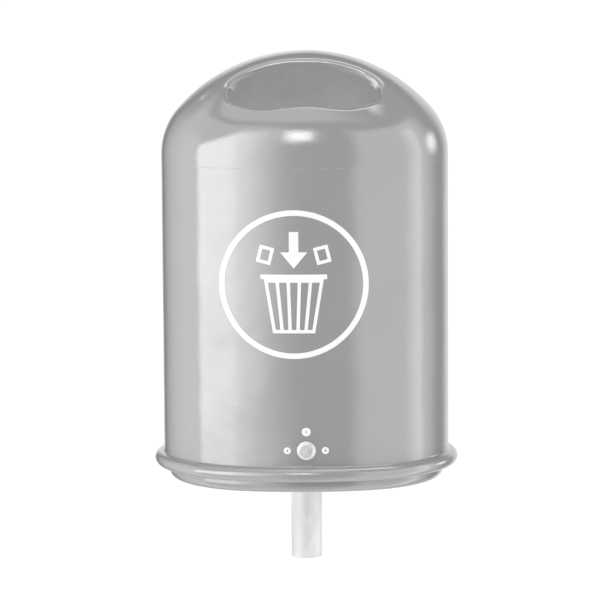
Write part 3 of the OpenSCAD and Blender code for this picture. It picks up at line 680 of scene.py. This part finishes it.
def build_seam():
    """The painted weld between hood and shell: a faint line of small uneven beads."""
    steps = 8
    half = WELD_H / 2
    profile = [(WELD_PROUD * math.sin(PI * k / steps), SEAM_Z + WELD_H * (k / steps - 0.5))
               for k in range(steps + 1)]
    profile += [(-WELD_DEPTH, SEAM_Z + half), (-WELD_DEPTH, SEAM_Z - half)]
    points, faces = swept(profile, WELD_COLUMNS)
    points = points.reshape(len(profile), WELD_COLUMNS, 3)
    draw = np.random.default_rng(7)
    beads = draw.normal(0, 1, WELD_COLUMNS)
    beads = np.convolve(np.concatenate([beads, beads[:8]]), np.ones(4) / 4, mode="valid")[:WELD_COLUMNS]
    swell = np.clip(0.4 + 0.6 * beads, 0.05, 1.7)
    ring, angle = oval_ring(WELD_COLUMNS)
    out = np.stack([np.cos(angle), np.sin(angle)], axis=1)
    base = ring - out * WELD_SINK
    offset = ((points[:, :, :2] - base) * out).sum(axis=2)
    lifted = np.where(offset > 0, offset * swell, offset)
    points[:, :, :2] = base + out * lifted[:, :, None]
    points[:, :, 2] = SEAM_Z + (points[:, :, 2] - SEAM_Z) * (0.8 + 0.25 * swell)
    add_piece("seam_weld", points.reshape(-1, 3), faces, paint_weld, "bin", ["hood_weld"], "paint", 60)


def build_foot():
    """The rolled foot bead with a painted fillet on top, its sill and the lap inside the shell."""
    mid_z = CREASE_Z - BEAD_H / 2
    rise = math.sqrt((BEAD_R + BEAD_FILLET) ** 2 - (BEAD_FILLET - BEAD_C) ** 2)
    touch = math.degrees(math.atan2(rise, BEAD_FILLET - BEAD_C))
    low = math.degrees(math.atan2(BEAD_H / 2, -BEAD_C))
    inner_r = BEAD_R - SHEET
    inner_a = 180 - math.degrees(math.asin((BEAD_H / 2 - SHEET) / inner_r))
    under_z = CREASE_Z - BEAD_H
    lap_z = CREASE_Z + LAP_H
    lap_x = -SHEET - LAP_T
    profile = [
        *arc(BEAD_C, mid_z, BEAD_R, -low, touch, 56)[:-1],
        *arc(BEAD_FILLET, mid_z + rise, BEAD_FILLET, touch - 180, -180, 10),
        (-0.2 * MM, mid_z + rise + 0.4 * MM), (-0.2 * MM, CREASE_Z + 0.1 * MM), (-SHEET, CREASE_Z),
        *line((-SHEET, CREASE_Z + 0.4 * MM), (-SHEET, lap_z), 4),
        (-SHEET - BREAK, lap_z), (lap_x, lap_z - BREAK),
        *line((lap_x, lap_z - 2 * BREAK), (lap_x, CREASE_Z - SHEET), 4),
        *arc(BEAD_C, mid_z, inner_r, inner_a, -inner_a, 40),
        (-SILL_IN + BREAK, under_z + SHEET), (-SILL_IN, under_z + SHEET - BREAK),
        (-SILL_IN, under_z + BREAK), (-SILL_IN + BREAK, under_z)]
    points, faces = swept(profile)
    add_piece("foot_bead", points, faces, paint, "bin", ["foot_ring"], "paint", 45)


def build_flap():
    """The pressed dish of the base flap, with its drain holes and rivet holes."""
    c = -FLAP_INSET - FLAP_CORNER
    turn_z = FLOOR_Z + FLAP_CORNER
    inner_x = -FLAP_INSET - SHEET
    profile = [
        *line((-FLAP_DISH, FLOOR_Z), (c, FLOOR_Z), 6),
        *arc(c, turn_z, FLAP_CORNER, -90, 0, 16),
        *line((-FLAP_INSET, turn_z + MM), (-FLAP_INSET, FLAP_RIM_Z - 2 * BREAK), 4),
        (-FLAP_INSET, FLAP_RIM_Z - 2 * BREAK), (-FLAP_INSET - SHEET / 3, FLAP_RIM_Z),
        (inner_x + SHEET / 3, FLAP_RIM_Z), (inner_x, FLAP_RIM_Z - 2 * BREAK),
        *line((inner_x, FLAP_RIM_Z - MM), (inner_x, turn_z), 4),
        *arc(c, turn_z, FLAP_CORNER - SHEET, 0, -90, 16),
        *line((c - MM, FLOOR_Z + SHEET), (-FLAP_DISH, FLOOR_Z + SHEET), 6), (-FLAP_DISH, FLOOR_Z + SHEET)]
    points, faces = swept(profile, COLUMNS, False)
    points, faces = capped(points, faces, COLUMNS)
    flap = add_piece("flap_dish", points, faces, paint, "flap", ["base_flap"], "paint", 40)
    drains = [(sx * DRAIN_X, MID_Y + sy * DRAIN_Y, DRAIN_R) for sx in (-1, 1) for sy in (-1, 1)]
    rivets = [(x, HINGE_RIVET_Y, RIVET_R) for x in HINGE_RIVET_X]
    drill(flap, [((x, y, FLOOR_Z), (0, 0, 1), r) for x, y, r in drains + rivets], 0.005)
    shade(flap, 40)


# ---- Pictogram film ----


def outline_shape(loops):
    """A flat shape from closed loops of (x, z), holes included, cut into narrow strips."""
    curve = bpy.data.curves.new("outline", "CURVE")
    curve.dimensions = "2D"
    curve.fill_mode = "BOTH"
    for loop in loops:
        spline = curve.splines.new("POLY")
        spline.points.add(len(loop) - 1)
        for point, (x, z) in zip(spline.points, loop):
            point.co = (x, z, 0, 1)
        spline.use_cyclic_u = True
    holder = bpy.data.objects.new("outline", curve)
    bpy.context.scene.collection.objects.link(holder)
    bpy.context.view_layer.update()
    flat = bpy.data.meshes.new_from_object(holder.evaluated_get(bpy.context.evaluated_depsgraph_get()))
    bpy.data.objects.remove(holder)
    shape = bmesh.new()
    shape.from_mesh(flat)
    bmesh.ops.remove_doubles(shape, verts=shape.verts, dist=1e-6)
    xs = [v.co.x for v in shape.verts]
    for k in range(math.floor(min(xs) / STRIP) + 1, math.ceil(max(xs) / STRIP)):
        bmesh.ops.bisect_plane(
            shape, geom=[*shape.verts, *shape.edges, *shape.faces],
            plane_co=(k * STRIP, 0, 0), plane_no=(1, 0, 0), dist=1e-7)
    return shape


def wrapped_film(name, loops, node):
    """Film of the given outline, wrapped on the front wall round the ring's centre."""
    shape = outline_shape(loops)
    bmesh.ops.triangulate(shape, faces=shape.faces)
    base = [v.co.copy() for v in shape.verts]
    faces = [[v.index for v in f.verts] for f in shape.faces]
    rims = [[v.index for v in e.verts] for e in shape.edges if len(e.link_faces) == 1]
    shape.free()
    count = len(base)
    points = []
    for lift in (FILM, 0.0):
        for co in base:
            x = RING_X + co.x
            points.append((x, float(wall_y(x)) - lift, RING_Z + co.y))
    sides = [(a, b, b + count, a + count) for a, b in rims]
    under = [[i + count for i in reversed(f)] for f in faces]
    return add_piece(name, points, [*faces, *under, *sides], film, "bin", [node], "film", 30)


def circle_loop(r, count=200):
    """A circle as a closed loop of points."""
    return [(r * math.cos(2 * PI * k / count), r * math.sin(2 * PI * k / count)) for k in range(count)]


def rounded(loop, r, steps=5):
    """A closed loop with its corners rounded to about r."""
    out = []
    for k, corner in enumerate(loop):
        corner = np.array(corner)
        before, after = np.array(loop[k - 1]), np.array(loop[(k + 1) % len(loop)])
        reach = min(r, np.linalg.norm(before - corner) / 2.2, np.linalg.norm(after - corner) / 2.2)
        p = corner + reach * unit(before - corner)
        q = corner + reach * unit(after - corner)
        for t in np.linspace(0, 1, steps):
            out.append(tuple((1 - t) ** 2 * p + 2 * t * (1 - t) * corner + t**2 * q))
    return out


def basket_half(z):
    """Half width of the basket at height z."""
    (low_w, low_z), (top_w, top_z) = BASKET_LOW, BASKET_TOP
    return low_w + (top_w - low_w) * (z - low_z) / (top_z - low_z)


def basket_slot(c):
    """One slot between two upright bars of the basket."""
    corners = []
    for z in (BASKET_LOW[1] + BAR, BASKET_TOP[1] - BAR):
        w = basket_half(z)
        left = -w + BAR + c * (2 * w - BAR) / SLOTS
        corners.append(((left, z), (left + (2 * w - BAR) / SLOTS - BAR, z)))
    (low_left, low_right), (top_left, top_right) = corners
    return [low_left, low_right, top_right, top_left]


def paper_loops(side):
    """Outer and inner edge of a tilted sheet of paper."""
    turn = math.radians(side * PAPER_A)
    loops = []
    for shrink in (0, PAPER_LINE):
        w, h = (PAPER_W - shrink) / 2, (PAPER_H - shrink) / 2
        loops.append([(side * PAPER_X + x * math.cos(turn) - z * math.sin(turn),
                       PAPER_Z + x * math.sin(turn) + z * math.cos(turn))
                      for x, z in ((-w, -h), (w, -h), (w, h), (-w, h))])
    return loops


def build_pictogram():
    """A plain ring, and in it a basket with an arrow and two sheets of paper above."""
    ring = [circle_loop(RING_D / 2), circle_loop(RING_D / 2 - RING_LINE)]
    wrapped_film("ring_film", ring, "pictogram_ring")
    (low_w, low_z), (top_w, top_z) = BASKET_LOW, BASKET_TOP
    (stem, top), (head, neck) = STEM_TOP, HEAD_TOP
    rim_w, rim_z = top_w + BAR, top_z + BASKET_RIM
    basket = [(-low_w, low_z), (low_w, low_z), (top_w, top_z), (rim_w, top_z), (rim_w, rim_z),
              (-rim_w, rim_z), (-rim_w, top_z), (-top_w, top_z)]
    arrow = [(-stem, top), (-stem, neck), (-head, neck), (0, TIP_Z),
             (head, neck), (stem, neck), (stem, top)]
    loops = [rounded(basket, SOFT_CORNER), rounded(arrow, TIGHT_CORNER)]
    loops += [rounded(basket_slot(c), SOFT_CORNER) for c in range(SLOTS)]
    for side in (-1, 1):
        outer, inner = paper_loops(side)
        loops += [rounded(outer, PAPER_CORNER), rounded(inner, TIGHT_CORNER)]
    wrapped_film("basket_film", loops, "pictogram_basket")


# ---- Lock ----


def build_lock():
    """The lock's housing, one turned piece with rounded rims and a recess for the plug."""
    back, barrel = LOCK_BACK / MM, LOCK_BARREL_R / MM
    profile = [(6.05, -back), (9.6, -back), (barrel, -back + 0.4), (barrel, 0),
               (13.9, 0), (14.1, 0.3), *arc(13.1, 1.5, 1.0, 0, 90, 7), *arc(12.4, 3.1, 0.6, 270, 180, 6),
               *arc(11.0, 9.2, 0.8, 0, 90, 8), *arc(10.7, 9.5, 0.5, 90, 180, 6), (10.2, 7.7),
               (9.9, 7.4), (8.3, 7.4), (8.05, 7.1), (8.05, -6), (6.05, -6)]
    profile = [(r * MM, h * MM) for r, h in profile]
    columns = 96
    points, _ = lathed(profile, columns)
    faces = grid_faces(len(profile), columns, True, True)
    points = placed(points, LOCK, (1, 0, 0), (0, -1, 0))
    add_piece("lock_body", points, faces, nickel, "bin", ["lock_housing"], "lock_metal", 40)


def build_lock_rivets():
    """Three blind rivets: wide flat heads, a drawn hole with the mandrel in it, a set tail. The mandrel's
    end and the hole's wall are dark: partly the mandrel's steel, partly painted shade in the hole.
    """
    columns = 64
    shapes = []
    for x, z, head in lock_rivet_places():
        r = head / MM
        profile = [(0.05, 0.2), (1.0, 0.3), (1.1, 1.2), *arc(1.45, 1.25, 0.35, 180, 90, 4),
                   (r * 0.55, 1.66), *arc(r - 1.15, 0.35, 1.15, 86, 10, 8), (r - 0.1, 0.0), (2.4, 0.0),
                   (2.4, -3.4), (3.3, -3.5), (3.5, -4.4), (3.1, -6.2), (2.0, -7.3), (0.05, -7.4)]
        points, faces = capped(*lathed([(a * MM, h * MM) for a, h in profile], columns), columns)
        origin = (x, float(wall_y(x)), z)
        shapes.append((placed(points, origin, (0, 0, 1), wall_normal(x)), faces))
    rivets = add_piece("lock_rivet_heads", *joined(shapes), aluminium, "bin", ["lock_rivets"], "rivet", 40)
    rivets.data.materials.append(mandrel_steel_and_hole_shade)
    # The faces inside the hole get the dark steel: partly the mandrel's own steel, partly painted shade in
    # the hole.
    centres = [np.array((x, float(wall_y(x)), z)) for x, z, _ in lock_rivet_places()]
    for face in rivets.data.polygons:
        middle = np.array(face.center)
        nearest = min(centres, key=lambda c: np.linalg.norm(c - middle))
        aside = np.hypot(middle[0] - nearest[0], middle[2] - nearest[2])
        if aside < MANDREL_R + 0.02 * MM and middle[1] < nearest[1]:
            face.material_index = 1


def round_edges(node, width):
    """Rounds a machined or folded piece's edges."""
    rounding = node.modifiers.new("rounded_edges", "BEVEL")
    rounding.width = width
    rounding.segments = 2
    rounding.limit_method = "ANGLE"
    rounding.angle_limit = math.radians(38)
    rounding.harden_normals = True


# ---- Studio ----

# What the glossy coat mirrors: soft lamp banks round the bin. Each is (azimuth of its left edge, of its
# right edge, height of its lower edge, of its upper edge, lean of the upper edge, brightness). An edge is
# the pair of angles in degrees between which it fades in or out; azimuth 0 is the front, + is to the right.
OPEN_LOW = (-100, -95)
OPEN_HIGH = (100, 95)
LAMPS = (
    ((-83, -78), (0, -44), (-21, -6.5), (54, 46), 0.44, 4.65),
    ((-170, -75), (-78, -84), OPEN_LOW, (46, 16), 0, 1.9),
    ((-150, -110), (3, -22), OPEN_LOW, (47, 44), 0, 1.2),
    ((22, 24), (128, 94), OPEN_LOW, (39, 36), 0, 1.25),
    ((46, 92), (99, 94), OPEN_LOW, (34, 28), 0, 2.3),
    ((-14, -4), (8, -1), (18, 28), (41, 34), 0, 7.5),
    ((100, 113), (130, 116), (-8, 8), (18, 10), 0, 3.4),
    ((-147.5, -146), (-144, -145), (28.5, 30), (33, 31), 0, 3.0),
    ((-150, -110), (60, 10), (49, 54), OPEN_HIGH, 0, 1.1),
    ((128, 156), (300, 290), OPEN_LOW, (30, 18), 0, 0.8),
    ((-300, -290), (-150, -176), OPEN_LOW, (30, 18), 0, 0.9),
    ((-300, -290), (300, 290), OPEN_LOW, (-14, -40), 0, 0.55),
)
# One lamp hangs overhead, wide across the bin and mostly to the right: (fading edge on the left, on the
# right, along, brightness).
OVERHEAD = ((-0.42, 0.10), (0.62, 0.40), (0.17, 0.09), 3.6)
ROOM_GREY = 0.12
SURROUND = 1.04
SKY_SLOPE = 0.12  # how much brighter the surround is overhead than at eye level
FLOOR_DROP = 0.17  # the floor lies this far below the post's cut end, clear of the open flap


def world_light():
    """An even pale surround for everything matt, and the lamp banks for whatever mirrors them."""
    world = bpy.data.worlds.new("studio")
    bpy.context.scene.world = world
    world.use_nodes = True
    tree = world.node_tree
    back = tree.nodes["Background"]
    split = tree.nodes.new("ShaderNodeSeparateXYZ")
    tree.links.new(tree.nodes.new("ShaderNodeTexCoord").outputs["Generated"], split.inputs[0])

    def maths(operation, *values):
        node = tree.nodes.new("ShaderNodeMath")
        node.operation = operation
        for socket, value in zip(node.inputs, values):
            if isinstance(value, (int, float)):
                socket.default_value = value
            else:
                tree.links.new(value, socket)
        return node.outputs["Value"]

    def fade(value, edge):
        node = tree.nodes.new("ShaderNodeMapRange")
        node.interpolation_type = "SMOOTHSTEP"
        node.inputs["From Min"].default_value, node.inputs["From Max"].default_value = edge
        tree.links.new(value, node.inputs["Value"])
        return node.outputs["Result"]

    x, y, z = split.outputs["X"], split.outputs["Y"], split.outputs["Z"]
    azimuth = maths("DEGREES", maths("ARCTAN2", x, maths("MULTIPLY", y, -1)))
    height = maths("DEGREES", maths("ARCSINE", z))
    mirrored = None
    for left, right, lower, upper, lean, level in LAMPS:
        leaned = maths("SUBTRACT", height, maths("MULTIPLY", azimuth, lean)) if lean else height
        glow = maths("MULTIPLY", fade(azimuth, left), fade(azimuth, right))
        glow = maths("MULTIPLY", maths("MULTIPLY", glow, fade(height, lower)), fade(leaned, upper))
        glow = maths("MULTIPLY", glow, level)
        mirrored = maths("MAXIMUM", mirrored, glow) if mirrored else maths("MAXIMUM", glow, ROOM_GREY)
    left, right, along, level = OVERHEAD
    glow = maths("MULTIPLY", fade(x, left), fade(x, right))
    glow = maths("MULTIPLY", glow, fade(maths("ABSOLUTE", y), along))
    above = maths("GREATER_THAN", z, 0)
    mirrored = maths("MAXIMUM", mirrored, maths("MULTIPLY", maths("MULTIPLY", glow, above), level))
    matt = maths("MULTIPLY_ADD", z, SKY_SLOPE, SURROUND)
    glossy = tree.nodes.new("ShaderNodeLightPath").outputs["Is Glossy Ray"]
    strength = tree.nodes.new("ShaderNodeMix")
    for socket, value in (("Factor", glossy), ("A", matt), ("B", mirrored)):
        tree.links.new(value, strength.inputs[socket])
    tree.links.new(strength.outputs["Result"], back.inputs["Strength"])
    back.inputs["Color"].default_value = (1, 1, 1, 1)


def build_floor():
    """A pale floor that glows a little, so the bin's shadow on it stays faint."""
    size = 40
    corners = [(-size, -size), (size, -size), (size, size), (-size, size)]
    mesh = bpy.data.meshes.new("floor")
    mesh.from_pydata([(x, y, -FLOOR_DROP) for x, y in corners], [], [(0, 1, 2, 3)])
    floor = bpy.data.objects.new("floor", mesh)
    bpy.context.scene.collection.objects.link(floor)
    s = Surface("pale_floor", Specular_IOR_Level=0.0, Emission_Strength=0.82)
    s.colour(s.tint(s.spread(s.noise(2.0), 0, 1), grey(0.24), grey(0.26)))
    s.shader.inputs["Emission Color"].default_value = (1, 1, 1, 1)
    s.shader.inputs["Roughness"].default_value = 0.9
    mesh.materials.append(s.material)
    floor.visible_glossy = False


def light_inside():
    """A soft lamp inside the bin, so the view through the mouth is as pale as the outside."""
    data = bpy.data.lights.new("inside", "POINT")
    data.energy = 0.85
    data.shadow_soft_size = 0.06
    lamp = bpy.data.objects.new("inside", data)
    bpy.context.scene.collection.objects.link(lamp)
    lamp.location = (0, MID_Y, SEAM_Z - 0.12)
    lamp.visible_camera = False
    lamp.visible_glossy = False


def add_camera():
    """A long lens in front of the bin, looking down a little and rolled by a third of a degree."""
    away = 6.2
    down = math.radians(8.3)
    roll = math.radians(0.35)
    aim = np.array([-0.0008, MID_Y, 0.431])
    data = bpy.data.cameras.new("camera")
    data.lens = 245.5
    data.sensor_width = 36
    camera = bpy.data.objects.new("camera", data)
    bpy.context.scene.collection.objects.link(camera)
    camera.location = aim + np.array([0, -away, away * math.tan(down)])
    tilt = Matrix.Rotation(PI / 2 - down, 4, "X") @ Matrix.Rotation(-roll, 4, "Z")
    camera.rotation_euler = tilt.to_euler()
    bpy.context.scene.camera = camera


world_light()
build_floor()
light_inside()
add_camera()
bpy.context.scene.view_settings.view_transform = "Standard"

build_shell()
build_hood()
build_seam()
build_foot()
build_flap()
build_pictogram()
build_lock()
build_lock_rivets()

EDGES = {
    "mounting_rail": 0.0006, "clamp_saddles": 0.0006, "clamp_straps": 0.0006, "lock_plate": 0.0004,
    "hinge_body_leaf": 0.0004, "hinge_flap_leaf": 0.0004, "flap_striker": 0.0004, "lock_cam": 0.0004,
    "lock_nut": 0.0004, "rail_bolts": 0.0003, "rail_nuts": 0.0003, "clamp_bolts": 0.0003,
    "clamp_nuts": 0.0003, "saddle_screws": 0.0003, "cam_screw": 0.0003, "cam_washer": 0.0002,
    "post": 0.0004, "post_cap": 0.0008, "lock_core": 0.0003, "hinge_pin": 0.0003}
SLOT_MATERIALS = {
    "paint": paint, "galvanised": zinc, "stainless": stainless, "zinc_plate": zinc_plate,
    "lock_metal": nickel, "rivet": aluminium, "cap_plastic": plastic, "film": film}
for part in frame["record"]["subparts"]:
    name = part["node"]
    node = frame["nodes"][name]
    node.data.materials.clear()
    node.data.materials.append(plug_metal if name == "lock_core" else SLOT_MATERIALS[part["material_slot"]])
    shade(node, 35)
    if name in EDGES:
        round_edges(node, EDGES[name])
